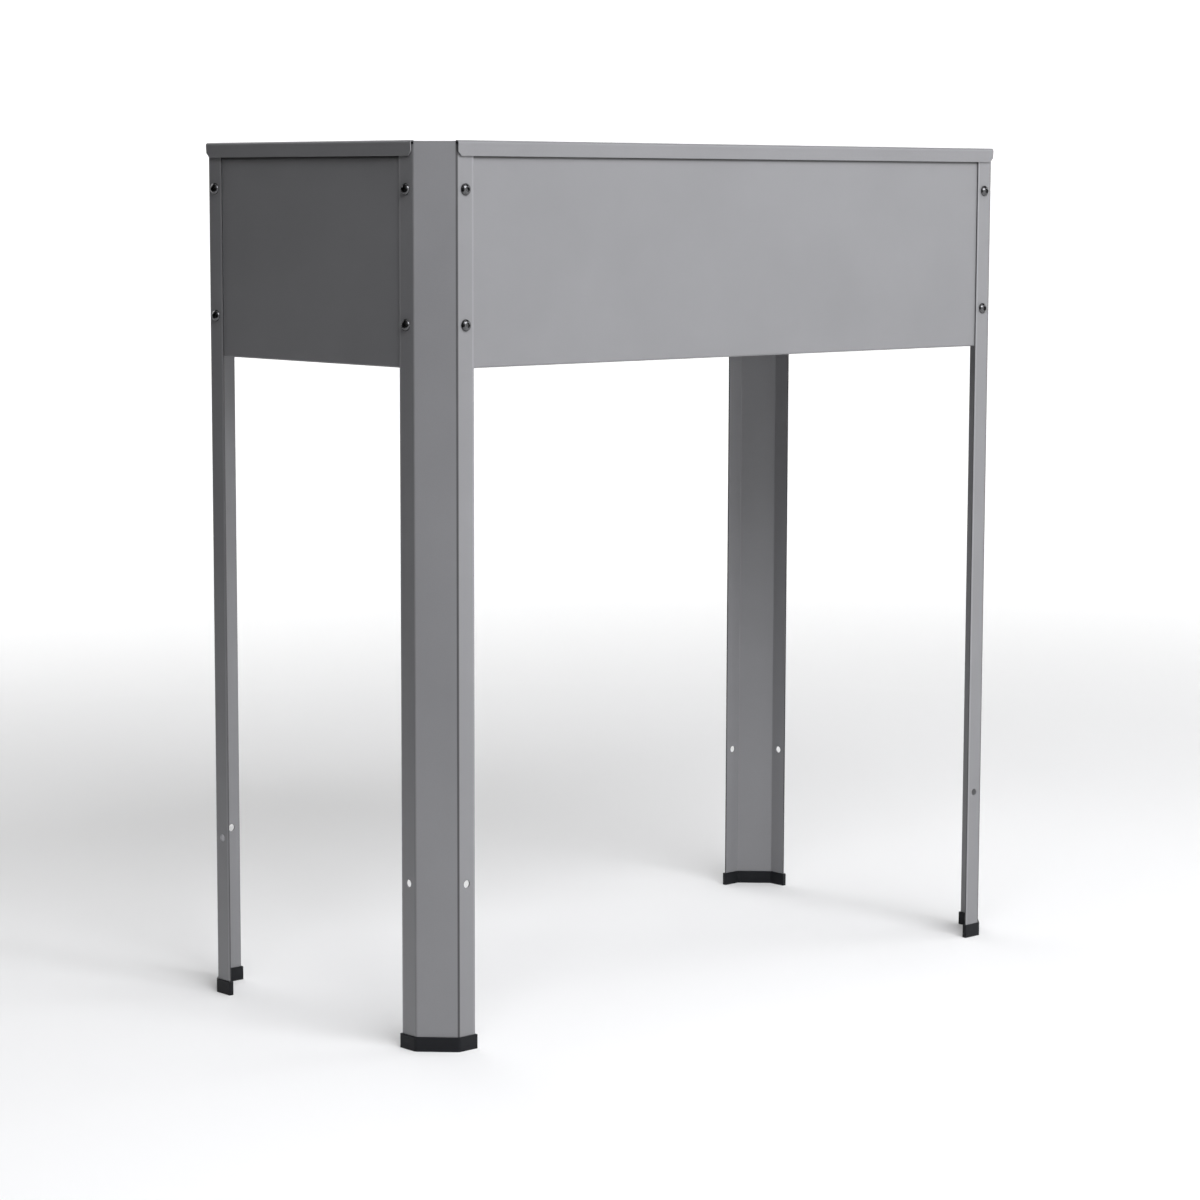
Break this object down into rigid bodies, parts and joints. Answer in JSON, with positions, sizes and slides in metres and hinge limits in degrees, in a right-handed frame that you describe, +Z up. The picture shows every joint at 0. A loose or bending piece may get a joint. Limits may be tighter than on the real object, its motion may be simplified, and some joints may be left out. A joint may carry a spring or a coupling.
{
  "type": "raised planter on legs",
  "caption": "Raised sheet steel planter: a long shallow box with a rolled rim, carried high on bent corner legs with capped feet.",
  "frame": {"origin": "on the floor, under the middle of the planter", "axes": "+X along the long side to the right, +Y to the back, +Z up; the front is -Y"},
  "size_m": [0.7566, 0.3566, 0.8],
  "materials": {
    "powder_coat": "semi-gloss mid grey powder coat on sheet steel",
    "foot_cap": "black moulded plastic",
    "screw_steel": "dark plated steel",
    "nut_steel": "bright zinc plated steel"
  },
  "bodies": {
    "root": {"front_panel": "powder_coat", "back_panel": "powder_coat", "left_panel": "powder_coat", "right_panel": "powder_coat", "leg_front_left": "powder_coat", "leg_front_right": "powder_coat", "leg_back_left": "powder_coat", "leg_back_right": "powder_coat", "base_panel": "powder_coat", "cross_brace": "powder_coat", "foot_cap_front_left": "foot_cap", "foot_cap_front_right": "foot_cap", "foot_cap_back_left": "foot_cap", "foot_cap_back_right": "foot_cap", "bolts_front_left": "screw_steel", "bolts_front_right": "screw_steel", "bolts_back_left": "screw_steel", "bolts_back_right": "screw_steel", "nuts_front_left": "nut_steel", "nuts_front_right": "nut_steel", "nuts_back_left": "nut_steel", "nuts_back_right": "nut_steel"}
  },
  "joints": []
}
